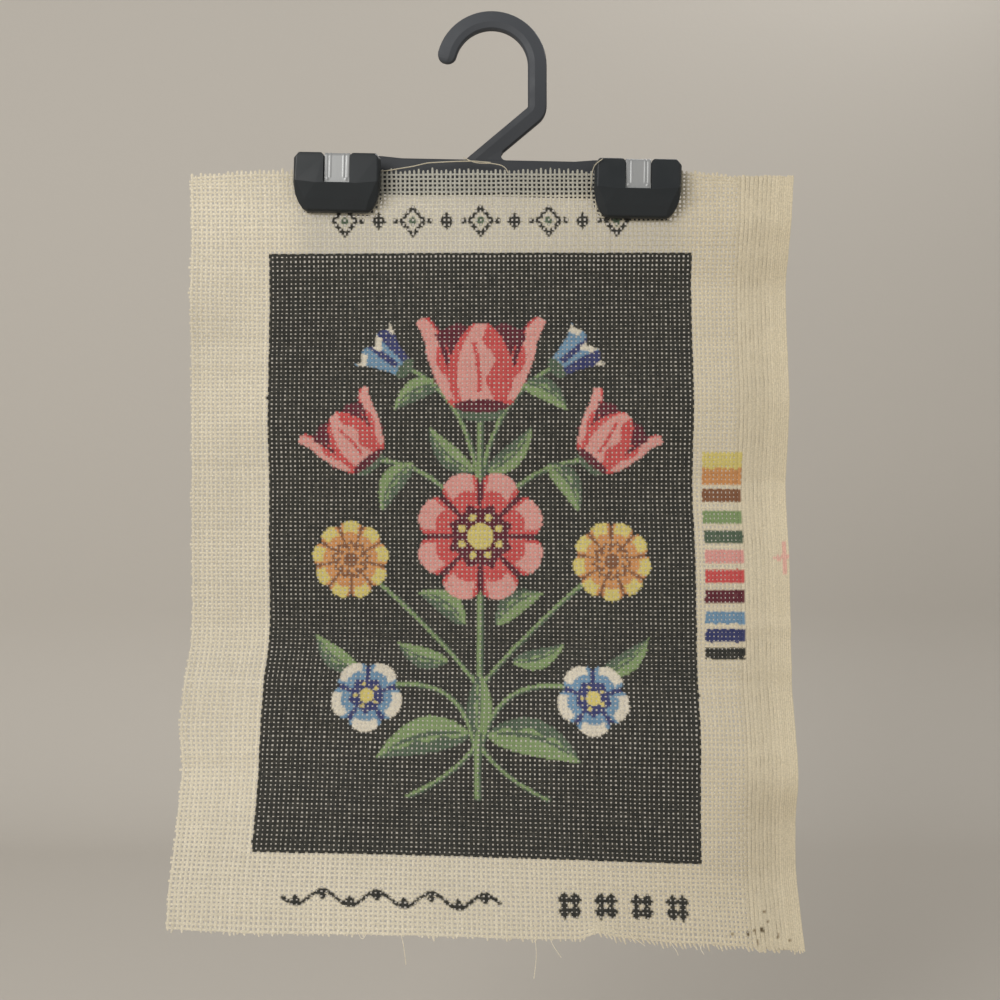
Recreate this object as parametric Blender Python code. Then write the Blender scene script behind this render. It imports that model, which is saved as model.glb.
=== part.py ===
"""Needlepoint canvas panel hanging from a plastic clip hanger.

The front of the canvas faces -Y. The origin lies under the top of the hook, where a peg or a rail carries it.
Sizes are named in millimetres, and point() turns them into metres.
"""
import math

import bmesh
import bpy
from mathutils import Vector

MM = 0.001
FIT = 0.3

# Canvas
SHEET_THICKNESS = 1.0
SHEET_PLANE_Y = -5.5
SHEET_TOP_Z = -73.2
WARP_LEFT_MARGIN = 17.5
WARP_FIELD = 93.0
WARP_RIGHT_MARGIN = 23.5
WARP_LINES = WARP_LEFT_MARGIN + WARP_FIELD + WARP_RIGHT_MARGIN
WEFT_LINES = 176.0
CELLS_ACROSS = 32
CELLS_DOWN = 44
CUT_FADE_LINES = 4.0

# The hung sheet, one row for each weft line that the shape needs, counted from the top edge.
# drop is how far that line hangs under the top edge, at the left edge, middle and right edge. y is its depth past
# the plane in which the clips hold it, at the edges, the sides of the printed field and the middle, + to the back.
FOLD_COLUMNS = ("line", "drop_left", "drop_middle", "drop_right",
                "y_left", "y_field_left", "y_middle", "y_field_right", "y_right")
FOLD_ROWS = (
    (0.0, 0.7, 0.0, -0.5, 0.0, 0.0, 0.0, 0.0, 0.0),
    (11.5, 25.9, 25.4, 24.7, 0.0, 0.0, 0.0, 0.0, 0.0),
    (19.1, 43.4, 42.8, 41.7, -1.0, 1.0, 0.5, 3.0, 5.0),
    (27.8, 62.6, 61.7, 59.9, -2.0, 3.0, 2.0, 7.0, 11.0),
    (42.1, 92.3, 92.0, 90.8, 3.0, 4.0, 3.0, 6.0, 9.0),
    (54.0, 117.1, 117.2, 117.2, 5.0, 4.0, 4.0, 3.0, 5.0),
    (74.8, 162.7, 163.1, 163.4, 9.0, 12.0, 9.0, 9.0, 12.0),
    (91.0, 197.8, 198.7, 199.2, 14.0, 15.0, 12.0, 5.0, 8.0),
    (107.3, 233.1, 234.4, 234.9, 16.0, 18.0, 13.0, 3.0, 6.0),
    (121.9, 261.4, 262.8, 264.4, 3.0, 3.0, 2.0, -2.0, 3.0),
    (130.8, 280.1, 281.2, 283.9, -1.0, 0.0, -6.0, -8.0, -3.0),
    (139.5, 298.9, 300.5, 303.9, -4.0, -2.0, -9.0, -11.0, -7.0),
    (150.6, 320.5, 323.4, 329.4, -12.0, -11.0, -12.0, -10.0, 0.0),
    (158.8, 335.7, 339.9, 348.9, -19.0, -20.0, -17.0, -10.0, 1.0),
    (167.3, 350.6, 356.1, 367.9, -30.0, -30.0, -26.0, -12.0, -5.0),
    (176.0, 366.2, 372.9, 385.9, -39.0, -37.0, -33.0, -17.0, -13.0),
)

# Where the sides of the cloth and of its printed field run, one row for each weft line that turns them.
SIDE_COLUMNS = ("line", "left", "field_left", "field_right", "right")
SIDE_ROWS = (
    (0.0, -152.6, -112.5, 100.8, 152.9),
    (19.1, -151.4, -111.5, 100.9, 151.0),
    (42.1, -151.9, -112.0, 101.4, 151.0),
    (74.8, -152.9, -113.0, 101.5, 150.4),
    (91.0, -153.8, -113.5, 102.2, 150.8),
    (121.9, -154.3, -113.4, 101.9, 150.5),
    (130.8, -154.9, -113.9, 101.7, 150.3),
    (139.5, -152.5, -114.3, 101.2, 150.2),
    (158.8, -151.8, -113.2, 101.4, 150.8),
    (176.0, -149.0, -111.5, 101.5, 151.1),
)

# How much the scissors took off the outermost weft line, by the share of the width from the left.
TOP_CUT_COLUMNS = ("share", "off_top")
TOP_CUT_ROWS = ((0.0, 2.2), (0.1, 0.0), (0.5, 0.0), (0.82, 0.8), (0.9, 4.0), (1.0, 4.2))
BOTTOM_CUT_COLUMNS = ("share", "off_bottom")
BOTTOM_CUT_ROWS = ((0.0, 0.0), (0.13, -1.8), (0.4, 0.0), (0.63, 0.4), (0.66, 3.8), (0.69, 1.6),
                   (0.78, -1.0), (0.87, -0.7), (1.0, 0.0))

# Hook, a bar of one section bent to a ring, a straight limb and a slanting neck
HOOK_WIDTH = 9.6
HOOK_SECTION_COLUMNS = ("outwards", "from_middle")
HOOK_SECTION_ROWS = (
    (HOOK_WIDTH / 2, 1.0),
    (4.2, 2.1),
    (-1.3, 2.7),
    (-4.1, 2.0),
    (-HOOK_WIDTH / 2, 1.0),
)
RING_INNER_RADIUS = 18.6
RING_RADIUS = RING_INNER_RADIUS + HOOK_WIDTH / 2
RING_CENTRE_Z = -RING_INNER_RADIUS
TIP_ANGLE = math.radians(165.5)
TIP_ROUND_STEPS = 4
RING_STEPS = 30
LIMB_CORNER_Z = -42.5
NECK_SLOPE = math.radians(40.2)
NECK_BEND_RADIUS = 6.5
NECK_BEND_STEPS = 7
NECK_FOOT_Z = -74.6
NECK_FOOT_DEPTH = 0.75
WEB_RADIUS = 2.4
WEB_HALF_DEPTH = 1.9
WEB_STEPS = 8
WEB_INTO_NECK = 3.4
WEB_INTO_BAR = 1.5

# Bar, in its own frame level with the tops of the clips, hanging a little out of level
BAR_ORIGIN = (-1.7, 0.0, -69.1)
BAR_LEAN = math.radians(1.15)
BAR_THICKNESS = 5.2
BAR_HALF_LENGTH = 60.0
BAR_TOP = 1.3
BAR_BOTTOM = -16.4
BAR_FLARE_START = 44.0
BAR_FLARE_END = 54.0
BAR_FLARE_TOP = 2.2
BAR_EDGE = 0.8

# Clips, measured down from their top and out from the plane of the cloth
CLIP_OFFSET = 75.2
PAD_FROM_PLANE = SHEET_THICKNESS / 2 + FIT
JAW_COLUMNS = ("half_width", "drop", "rise")
JAW_ROWS = (
    (19.3, 0.0, 2.4),
    (21.4, 2.6, 2.2),
    (21.6, 15.4, 1.0),
    (20.4, 21.5, 0.0),
    (19.0, 25.0, 0.0),
    (17.2, 27.6, 0.0),
    (14.8, 29.0, 0.0),
    (19.3, 0.0, 5.6),
    (21.75, 2.8, 5.4),
    (21.75, 15.6, 5.6),
    (20.8, 21.5, 4.4),
    (19.3, 25.0, 3.4),
    (17.4, 27.6, 2.6),
    (15.0, 29.0, 2.2),
    (18.6, 0.7, 7.2),
    (20.4, 2.5, 7.4),
    (20.6, 14.6, 8.05),
    (10.3, 16.0, 8.2),
    (16.1, 23.4, 5.6),
    (14.4, 28.4, 3.6),
)
JAW_EDGE = 0.5

# Springs, steel strips bent over the tops of the jaws
SPRING_WIDTH = 12.6
SPRING_THICKNESS = 0.9
SPRING_TOP_DROP = 0.0
SPRING_END_DROP = 15.4
SPRING_LEG_FROM_PLANE = 6.3
SPRING_BEND_RADIUS = 2.2
SPRING_BEND_STEPS = 6
NOTCH_HALF_WIDTH = SPRING_WIDTH / 2 + FIT
NOTCH_FLOOR_DROP = SPRING_TOP_DROP + SPRING_THICKNESS + FIT
NOTCH_FLOOR_RISE = SPRING_LEG_FROM_PLANE - FIT
NOTCH_END_DROP = SPRING_END_DROP + FIT
NOTCH_CHAMFER_ACROSS = 2.0
NOTCH_CHAMFER_DOWN = 2.2
NOTCH_MOUTH = 1.8
CUTTER_MARGIN = 4.0


def clear_scene():
    for thing in list(bpy.data.objects):
        bpy.data.objects.remove(thing, do_unlink=True)


def point(x, y, z):
    return Vector((x, y, z)) * MM


def material(name, colour, roughness, metallic=0.0):
    made = bpy.data.materials.new(name)
    made.use_nodes = True
    shader = made.node_tree.nodes["Principled BSDF"]
    shader.inputs["Base Color"].default_value = (*colour, 1.0)
    shader.inputs["Roughness"].default_value = roughness
    shader.inputs["Metallic"].default_value = metallic
    return made


def new_object(name, mesh_maker, look=None):
    mesh = bpy.data.meshes.new(name)
    made = bmesh.new()
    mesh_maker(made)
    bmesh.ops.recalc_face_normals(made, faces=made.faces)
    made.to_mesh(mesh)
    made.free()
    thing = bpy.data.objects.new(name, mesh)
    bpy.context.collection.objects.link(thing)
    if look:
        mesh.materials.append(look)
    return thing


def hide_as_tool(thing):
    thing.hide_render = True
    thing.display_type = "WIRE"


def boolean(target, tool, operation):
    hide_as_tool(tool)
    step = target.modifiers.new(operation.title() + " " + tool.name, "BOOLEAN")
    step.operation = operation
    step.solver = "EXACT"
    step.object = tool


def read_smooth(knots, values, at):
    """A smooth curve through the values that never swings past them."""
    last = len(knots) - 1
    at = min(max(at, knots[0]), knots[last])
    rises = [(values[i + 1] - values[i]) / (knots[i + 1] - knots[i]) for i in range(last)]
    slopes = [rises[0]] + [0.0] * (last - 1) + [rises[-1]]
    for i in range(1, last):
        if rises[i - 1] * rises[i] > 0:
            before, after = knots[i] - knots[i - 1], knots[i + 1] - knots[i]
            slopes[i] = (before + after) * 3 / ((2 * after + before) / rises[i - 1] + (after + 2 * before) / rises[i])
    i = next(k for k in range(last) if at <= knots[k + 1])
    step = knots[i + 1] - knots[i]
    t = (at - knots[i]) / step
    return (values[i] * (1 + 2 * t) * (1 - t) ** 2 + slopes[i] * step * t * (1 - t) ** 2
            + values[i + 1] * t * t * (3 - 2 * t) + slopes[i + 1] * step * t * t * (t - 1))


def read_straight(rows, at):
    for (low, first), (high, second) in zip(rows, rows[1:]):
        if at <= high:
            return first + (second - first) * (at - low) / (high - low)
    return rows[-1][1]


def column(rows, columns, name):
    return [row[columns.index(name)] for row in rows]


def fold(name, line):
    return read_smooth(column(FOLD_ROWS, FOLD_COLUMNS, "line"), column(FOLD_ROWS, FOLD_COLUMNS, name), line)


def side(name, line):
    return read_smooth(column(SIDE_ROWS, SIDE_COLUMNS, "line"), column(SIDE_ROWS, SIDE_COLUMNS, name), line)


def sheet_point(share, line):
    """Middle of the cloth at a share of its width from the left, on a weft line counted from the top."""
    warp = share * WARP_LINES
    stations = (0.0, WARP_LEFT_MARGIN, WARP_LEFT_MARGIN + WARP_FIELD, WARP_LINES)
    sides = [side(name, line) for name in SIDE_COLUMNS[1:]]
    x = read_straight(tuple(zip(stations, sides)), warp)
    left, middle, right = (fold(name, line) for name in ("drop_left", "drop_middle", "drop_right"))
    drop = left + share * (4 * middle - 3 * left - right) + share * share * 2 * (left + right - 2 * middle)
    depth_stations = (0.0, WARP_LEFT_MARGIN, WARP_LEFT_MARGIN + WARP_FIELD / 2,
                      WARP_LEFT_MARGIN + WARP_FIELD, WARP_LINES)
    depths = [fold(name, line) for name in FOLD_COLUMNS[4:]]
    y = SHEET_PLANE_Y + read_smooth(depth_stations, depths, warp)
    drop += read_straight(TOP_CUT_ROWS, share) * max(0.0, 1 - line / CUT_FADE_LINES)
    drop -= read_straight(BOTTOM_CUT_ROWS, share) * max(0.0, 1 - (WEFT_LINES - line) / CUT_FADE_LINES)
    return point(x, y, SHEET_TOP_Z - drop)


def canvas_grid(made):
    grid = []
    for row in range(CELLS_DOWN + 1):
        line = WEFT_LINES * row / CELLS_DOWN
        grid.append([made.verts.new(sheet_point(col / CELLS_ACROSS, line)) for col in range(CELLS_ACROSS + 1)])
    for upper, lower in zip(grid, grid[1:]):
        for col in range(CELLS_ACROSS):
            made.faces.new((upper[col], lower[col], lower[col + 1], upper[col + 1]))


def canvas():
    cloth = new_object("canvas", canvas_grid, material("canvas cloth", (0.72, 0.66, 0.52), 0.9))
    solid = cloth.modifiers.new("Thickness", "SOLIDIFY")
    solid.thickness = SHEET_THICKNESS * MM
    solid.offset = 0.0
    cloth.data.shade_smooth()
    return cloth


def hook_path():
    """Centre line of the hook as (x, z, heading), from its tip round the ring to its foot in the bar."""
    path = []
    for step in range(RING_STEPS + 1):
        angle = TIP_ANGLE * (1 - step / RING_STEPS)
        path.append((RING_RADIUS * math.cos(angle), RING_CENTRE_Z + RING_RADIUS * math.sin(angle),
                     angle - math.pi / 2))
    turn = math.pi / 2 - NECK_SLOPE
    bend_start = LIMB_CORNER_Z + NECK_BEND_RADIUS * math.tan(turn / 2)
    for step in range(NECK_BEND_STEPS + 1):
        turned = turn * step / NECK_BEND_STEPS
        path.append((RING_RADIUS - NECK_BEND_RADIUS * (1 - math.cos(turned)),
                     bend_start - NECK_BEND_RADIUS * math.sin(turned), -math.pi / 2 - turned))
    foot_x = RING_RADIUS - (LIMB_CORNER_Z - NECK_FOOT_Z) / math.tan(NECK_SLOPE)
    path.append((foot_x, NECK_FOOT_Z, -math.pi / 2 - turn))
    return path


def hook_section(width_share, depth_share):
    """Corners of the section, as (across, depth): both faces rise to a ridge nearer the inner edge."""
    front = [(across * width_share, depth * depth_share) for across, depth in HOOK_SECTION_ROWS]
    return front + [(across, -depth) for across, depth in reversed(front)]


def hook_bar(made):
    path = hook_path()
    tip_x, tip_z, tip_heading = path[0]
    rings = []
    for step in range(1, TIP_ROUND_STEPS + 1):
        angle = math.pi / 2 * step / (TIP_ROUND_STEPS + 1)
        back = HOOK_WIDTH / 2 * math.cos(angle)
        rings.append((tip_x - back * math.cos(tip_heading), tip_z - back * math.sin(tip_heading), tip_heading,
                      math.sin(angle), math.sin(angle)))
    rings += [(x, z, heading, 1.0, 1.0) for x, z, heading in path[:-1]]
    rings.append((*path[-1], 1.0, NECK_FOOT_DEPTH))
    loops = []
    for x, z, heading, width_share, depth_share in rings:
        out_x, out_z = -math.sin(heading), math.cos(heading)
        loops.append([made.verts.new(point(x + out_x * across, depth, z + out_z * across))
                      for across, depth in hook_section(width_share, depth_share)])
    for first, second in zip(loops, loops[1:]):
        for i in range(len(first)):
            j = (i + 1) % len(first)
            made.faces.new((first[i], first[j], second[j], second[i]))
    made.faces.new(loops[0])
    made.faces.new(loops[-1])


def extrude_outline(made, outline, axis_low, axis_high, place):
    """A prism over an outline of pairs; place(a, b, t) gives the point for a pair and the position along."""
    low = [made.verts.new(place(a, b, axis_low)) for a, b in outline]
    high = [made.verts.new(place(a, b, axis_high)) for a, b in outline]
    made.faces.new(low)
    made.faces.new(high)
    for i in range(len(outline)):
        j = (i + 1) % len(outline)
        made.faces.new((low[i], low[j], high[j], high[i]))


def bar_prism(made):
    half_top = [(BAR_FLARE_START, BAR_TOP), (BAR_FLARE_END, BAR_FLARE_TOP), (BAR_HALF_LENGTH, BAR_FLARE_TOP)]
    outline = [(-x, z) for x, z in reversed(half_top)] + half_top
    outline += [(BAR_HALF_LENGTH, BAR_BOTTOM), (-BAR_HALF_LENGTH, BAR_BOTTOM)]
    extrude_outline(made, outline, -BAR_THICKNESS / 2, BAR_THICKNESS / 2, lambda x, z, y: point(x, y, z))


def bar_top_at(x):
    return BAR_ORIGIN[2] + BAR_TOP - (x - BAR_ORIGIN[0]) * math.tan(BAR_LEAN)


def neck_web(made):
    """The rounded web that fills the acute corner between the neck and the top of the bar."""
    def edge_x(z):
        start_x = RING_RADIUS + HOOK_WIDTH / 2 * math.sin(NECK_SLOPE)
        start_z = LIMB_CORNER_Z - HOOK_WIDTH / 2 * math.cos(NECK_SLOPE)
        return start_x - (start_z - z) / math.tan(NECK_SLOPE)

    reach = WEB_RADIUS / math.tan(NECK_SLOPE / 2)
    level = bar_top_at(edge_x(bar_top_at(0.0)) + reach)
    centre_x, centre_z = edge_x(level) + reach, level + WEB_RADIUS
    outline = [(centre_x, level - WEB_INTO_BAR)]
    for step in range(WEB_STEPS + 1):
        angle = -math.pi / 2 - (math.pi - NECK_SLOPE) * step / WEB_STEPS
        outline.append((centre_x + WEB_RADIUS * math.cos(angle), centre_z + WEB_RADIUS * math.sin(angle)))
    end_x, end_z = outline[-1]
    outline.append((end_x - WEB_INTO_NECK * math.sin(NECK_SLOPE), end_z + WEB_INTO_NECK * math.cos(NECK_SLOPE)))
    low = level - WEB_INTO_BAR
    outline.append((edge_x(low) - WEB_INTO_NECK / math.sin(NECK_SLOPE), low))
    extrude_outline(made, outline, -WEB_HALF_DEPTH, WEB_HALF_DEPTH, lambda x, z, y: point(x, y, z))


def jaw_hull(facing):
    """Convex body of a jaw on one side of the cloth: facing is -1 for the front and 1 for the back."""
    def build(made):
        for half_width, drop, rise in JAW_ROWS:
            for x in (-half_width, half_width):
                made.verts.new(point(x, facing * (PAD_FROM_PLANE + rise), -drop))
        hull = bmesh.ops.convex_hull(made, input=made.verts)
        inner = [v for v in hull["geom_interior"] if isinstance(v, bmesh.types.BMVert)]
        bmesh.ops.delete(made, geom=inner, context="VERTS")
        bmesh.ops.dissolve_limit(made, angle_limit=math.radians(2), verts=made.verts, edges=made.edges)
    return build


def notch_prism(facing):
    """What is cut from a jaw so that the spring lies in it and passes over it."""
    def build(made):
        high = -CUTTER_MARGIN
        outline = ((-FIT, high), (-FIT, NOTCH_FLOOR_DROP),
                   (NOTCH_FLOOR_RISE - NOTCH_CHAMFER_ACROSS, NOTCH_FLOOR_DROP),
                   (NOTCH_FLOOR_RISE, NOTCH_FLOOR_DROP + NOTCH_CHAMFER_DOWN),
                   (NOTCH_FLOOR_RISE, NOTCH_END_DROP),
                   (NOTCH_FLOOR_RISE + CUTTER_MARGIN, NOTCH_END_DROP),
                   (NOTCH_FLOOR_RISE + CUTTER_MARGIN, high))
        extrude_outline(made, outline, -NOTCH_HALF_WIDTH, NOTCH_HALF_WIDTH,
                        lambda rise, drop, x: point(x, facing * rise, -drop))
    return build


def mouth_prism(facing):
    """What is cut, at 45 degrees, from the two upper corners of the notch in a jaw."""
    def build(made):
        inner = NOTCH_HALF_WIDTH - FIT
        outer = NOTCH_HALF_WIDTH + NOTCH_MOUTH + CUTTER_MARGIN
        for end in (-1, 1):
            outline = ((end * inner, -CUTTER_MARGIN), (end * inner, NOTCH_MOUTH + FIT),
                       (end * outer, -CUTTER_MARGIN))
            extrude_outline(made, outline, -FIT, NOTCH_FLOOR_RISE + CUTTER_MARGIN,
                            lambda x, drop, rise: point(x, facing * rise, -drop))
    return build


def strip_line(from_plane, radius):
    """Half of a line along the spring, from a leg's end to the middle of the top, as (rise, drop)."""
    centre_rise = SPRING_LEG_FROM_PLANE + SPRING_THICKNESS - SPRING_BEND_RADIUS
    centre_drop = SPRING_TOP_DROP + SPRING_BEND_RADIUS
    line = [(from_plane, SPRING_END_DROP)]
    for step in range(SPRING_BEND_STEPS + 1):
        angle = math.pi / 2 * step / SPRING_BEND_STEPS
        line.append((centre_rise + radius * math.cos(angle), centre_drop - radius * math.sin(angle)))
    return line


def spring_strip(made):
    outer = strip_line(SPRING_LEG_FROM_PLANE + SPRING_THICKNESS, SPRING_BEND_RADIUS)
    inner = strip_line(SPRING_LEG_FROM_PLANE, SPRING_BEND_RADIUS - SPRING_THICKNESS)
    outline = outer + [(-rise, drop) for rise, drop in reversed(outer)]
    outline += [(-rise, drop) for rise, drop in inner] + list(reversed(inner))
    extrude_outline(made, outline, -SPRING_WIDTH / 2, SPRING_WIDTH / 2,
                    lambda rise, drop, x: point(x, rise, -drop))


def soften(thing, width):
    edge = thing.modifiers.new("Edges", "BEVEL")
    edge.width = width * MM
    edge.segments = 2
    edge.limit_method = "ANGLE"
    edge.angle_limit = math.radians(25)


def bar_frame():
    """The empty that carries the bar and the clips, turned by the lean of the hanger."""
    frame = bpy.data.objects.new("bar frame", None)
    bpy.context.collection.objects.link(frame)
    frame.location = point(*BAR_ORIGIN)
    frame.rotation_euler = (0.0, BAR_LEAN, 0.0)
    return frame


def set_on(thing, frame, x=0.0, y=0.0):
    thing.parent = frame
    thing.location = point(x, y, 0.0)
    return thing


def jaw(name, facing, frame, x, look):
    body = set_on(new_object(name, jaw_hull(facing), look), frame, x, SHEET_PLANE_Y)
    soften(body, JAW_EDGE)
    notch = set_on(new_object(name + " notch", notch_prism(facing)), frame, x, SHEET_PLANE_Y)
    mouth = set_on(new_object(name + " mouth", mouth_prism(facing)), frame, x, SHEET_PLANE_Y)
    boolean(notch, mouth, "UNION")
    boolean(body, notch, "DIFFERENCE")
    return body


def hanger(frame, plastic):
    moulding = new_object("hanger", hook_bar, plastic)
    bar = set_on(new_object("bar", bar_prism), frame)
    soften(bar, BAR_EDGE)
    boolean(moulding, bar, "UNION")
    boolean(moulding, new_object("neck web", neck_web), "UNION")
    for name, x in (("back jaw left", -CLIP_OFFSET), ("back jaw right", CLIP_OFFSET)):
        boolean(moulding, jaw(name, 1, frame, x, plastic), "UNION")
    return moulding


def main():
    clear_scene()
    plastic = material("black plastic", (0.012, 0.013, 0.014), 0.35)
    steel = material("spring steel", (0.62, 0.63, 0.64), 0.25, 1.0)
    canvas()
    frame = bar_frame()
    hanger(frame, plastic)
    for end, x in (("left", -CLIP_OFFSET), ("right", CLIP_OFFSET)):
        jaw("front_jaw_" + end, -1, frame, x, plastic)
        spring = new_object("spring_" + end, spring_strip, steel)
        set_on(spring, frame, x, SHEET_PLANE_Y)


main()
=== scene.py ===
import math

import bpy
import numpy as np
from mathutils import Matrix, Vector


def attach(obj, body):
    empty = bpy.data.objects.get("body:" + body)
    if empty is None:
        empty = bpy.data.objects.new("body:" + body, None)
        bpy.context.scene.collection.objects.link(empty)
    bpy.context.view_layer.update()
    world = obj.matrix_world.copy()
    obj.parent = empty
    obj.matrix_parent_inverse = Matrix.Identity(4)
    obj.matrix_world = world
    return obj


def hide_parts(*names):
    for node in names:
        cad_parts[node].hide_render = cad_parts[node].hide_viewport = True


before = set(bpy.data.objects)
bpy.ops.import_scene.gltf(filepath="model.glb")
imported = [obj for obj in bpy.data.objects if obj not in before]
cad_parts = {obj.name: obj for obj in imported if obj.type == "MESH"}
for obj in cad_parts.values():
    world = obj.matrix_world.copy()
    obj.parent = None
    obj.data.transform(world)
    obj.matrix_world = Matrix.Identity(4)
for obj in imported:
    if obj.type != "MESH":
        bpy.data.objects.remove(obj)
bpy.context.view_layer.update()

MM = 0.001

# Camera, from the photograph's perspective
FOCAL_SHARE = 1.072
SENSOR = 36.0
CAMERA_PLACE = (0.00432, -0.5415, -0.25892)
CAMERA_PITCH = math.radians(1.9)

# Cloth surface: the same sizes in millimetres and thread counts as the canvas node
SHEET_PLANE_Y = -5.5
SHEET_TOP_Z = -73.2
FIELD_START = 17.5
FIELD_END = 110.5
WARP_LINES = 134
WEFT_LINES = 176
CUT_FADE_LINES = 4.0
# Folds: weft line, drop at the left, middle and right, and depth at the left edge, the field's left side, the
# middle, the field's right side and the right edge
FOLD_ROWS = (
    (0.0, 0.7, 0.0, -0.5, 0, 0, 0, 0, 0),
    (11.5, 25.9, 25.4, 24.7, 0, 0, 0, 0, 0),
    (19.1, 43.4, 42.8, 41.7, -1, 1, 0.5, 3, 5),
    (27.8, 62.6, 61.7, 59.9, -2, 3, 2, 7, 11),
    (42.1, 92.3, 92.0, 90.8, 3, 4, 3, 6, 9),
    (54.0, 117.1, 117.2, 117.2, 5, 4, 4, 3, 5),
    (74.8, 162.7, 163.1, 163.4, 9, 12, 9, 9, 12),
    (91.0, 197.8, 198.7, 199.2, 14, 15, 12, 5, 8),
    (107.3, 233.1, 234.4, 234.9, 16, 18, 13, 3, 6),
    (121.9, 261.4, 262.8, 264.4, 3, 3, 2, -2, 3),
    (130.8, 280.1, 281.2, 283.9, -1, 0, -6, -8, -3),
    (139.5, 298.9, 300.5, 303.9, -4, -2, -9, -11, -7),
    (150.6, 320.5, 323.4, 329.4, -12, -11, -12, -10, 0),
    (158.8, 335.7, 339.9, 348.9, -19, -20, -17, -10, 1),
    (167.3, 350.6, 356.1, 367.9, -30, -30, -26, -12, -5),
    (176.0, 366.2, 372.9, 385.9, -39, -37, -33, -17, -13),
)
# Sides: weft line, and x of the left edge, the field's left side, the field's right side and the right edge
SIDE_ROWS = (
    (0, -152.6, -112.5, 100.8, 152.9),
    (19.1, -151.4, -111.5, 100.9, 151.0),
    (42.1, -151.9, -112.0, 101.4, 151.0),
    (74.8, -152.9, -113.0, 101.5, 150.4),
    (91.0, -153.8, -113.5, 102.2, 150.8),
    (121.9, -154.3, -113.4, 101.9, 150.5),
    (130.8, -154.9, -113.9, 101.7, 150.3),
    (139.5, -152.5, -114.3, 101.2, 150.2),
    (158.8, -151.8, -113.2, 101.4, 150.8),
    (176.0, -149.0, -111.5, 101.5, 151.1),
)
# Cuts: share of the width, and how far the cloth is cut short there
TOP_CUT_ROWS = ((0.0, 2.2), (0.1, 0.0), (0.5, 0.0), (0.82, 0.8), (0.9, 4.0), (1.0, 4.2))
BOTTOM_CUT_ROWS = ((0.0, 0.0), (0.13, -1.8), (0.4, 0.0), (0.63, 0.4), (0.66, 3.8), (0.69, 1.6),
                   (0.78, -1.0), (0.87, -0.7), (1.0, 0.0))

# Packing creases: weft line at the middle, how many lines it climbs to the right, its depth and half width
CREASE_ROWS = (
    (44.0, 2.0, -0.5, 1.8),
    (71.0, -3.0, 0.5, 1.6),
    (107.5, 3.5, -0.8, 1.7),
    (118.5, -2.5, 0.7, 2.0),
    (136.0, 2.0, -0.5, 1.6),
)

# Threads: sizes in millimetres, places in thread counts
WARP_PITCH = 2.3
WEFT_PITCH = 2.15
WARP_WIDTH = 1.28
WEFT_WIDTH = 1.2
INK_SWELL = 0.25
THREAD_DEPTH = 0.46
CRIMP = 0.15
DENSE_CRIMP_LOSS = (0.8, 0.9)
DENSE_WARP_RISE = 0.16
DENSE_WEFT_SINK = 0.2
FIRST_WEFT = 1
BANDS = 5
PLAIN_WARPS = 130
SELVEDGE_WARPS = 8
SELVEDGE_CLOSE = 0.53
DENSE_CLOSE = (0.92, 0.94)
DENSE_START = 119.5
DENSE_RUN = 4.5
THREAD_DRIFT = (0.09, 0.08)
DENSE_STEADINESS = 0.72
THICK_AND_THIN = 0.12
DRIFT_WAVES = (9.0, 23.0, 61.0)
SIZE_WAVES = (5.0, 14.0)
WEFT_END_SPREAD = 0.16
WEFT_END_SHORT = 0.3

# Raw cuts: reach of the warp's ends past the cloth, in weft lines
TOP_REACH = (-0.35, 0.22)
FRAY_SPAN = (88, 128)
FRAY_SHORT = 0.1
FRAY_LONG = 0.75
FRAY_SPREAD = 0.28
FRAY_LEAN = 0.5
FRAY_LEAN_SPREAD = 0.22

# The stretch between the clips, where the canvas is pulled open and given painted shade, and the line and fade
# where the painted shadow before the bar ends
OPEN_MIDDLE = 66.5
OPEN_HALF = 45.0
OPEN_EDGE = 6.0
OPEN_END_LINE = 24.0
OPEN_FADE = 5.0
OPENED = 0.16
BAR_END_LINE = 7.2
BAR_FADE = 1.5

# Shares of the cloth's red, green and blue lost to painted shade: at the darker, yellower right, between the
# clips and before the bar
RIGHT_SHADE_LOSS = (0.04, 0.055, 0.085)
RIGHT_SHADE_FROM = 60.0
SHADED = (0.07, 0.06, 0.045)
BAR_SHADE_LOSS = (0.14, 0.12, 0.09)
# Painted shade on the weft where it sinks under the crowded warps
DENSE_WEFT_SHADE = 0.18
TONE_SPREAD = 0.011
SELVEDGE_TONE = 0.03

# Ink: how much of it shows on the front and on the back, with its spread, and how ragged its edges are
FRONT_INK = (0.97, 0.035)
BACK_INK = (0.62, 0.12)
INK_RAGGED = 0.04

# Ink and cloth colours as the eye sees them, 0 to 255
ECRU = (208, 198, 176)
BLACK = (50, 50, 47)
RED = (184, 76, 75)
PINK = (200, 140, 132)
MAROON = (88, 42, 50)
GREEN = (118, 137, 94)
DARK_GREEN = (76, 90, 74)
YELLOW = (196, 180, 108)
ORANGE = (188, 132, 84)
BROWN = (120, 82, 60)
LIGHT_BLUE = (102, 132, 156)
INDIGO = (56, 60, 98)
IVORY = (203, 194, 176)
MARK_PINK = (206, 160, 146)
STAIN = (124, 108, 84)
DARK_STAIN = (88, 76, 58)

# The printed field, in weft lines
FIELD_TOP_LINE = 19.1
FIELD_BOTTOM_LINE = 158.9
FIELD_MIDDLE_LINE = (FIELD_TOP_LINE + FIELD_BOTTOM_LINE) / 2
FIELD_BLEED = 0.4

# Margins, in warp and weft lines: the row of lozenges, the row of ornaments and the wave
ROW_START = 34.0
ROW_STEP = 7.5
ROW_LINE = 12.2
ROW_COUNT = 9
ROW_DOT = 0.5
ORNAMENT_START = 82.6
ORNAMENT_STEP = 7.6
ORNAMENT_LINE = 168.6
ORNAMENT_COUNT = 4
ORNAMENT_PETAL = 1.75
WAVE_SPAN = (24.0, 68.5)
WAVE_LINE = 168.3
WAVE_HEIGHT = 1.5
WAVE_LENGTH = 11.0
WAVE_LEAVES = 8
FINE_LINE = 0.5

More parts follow.
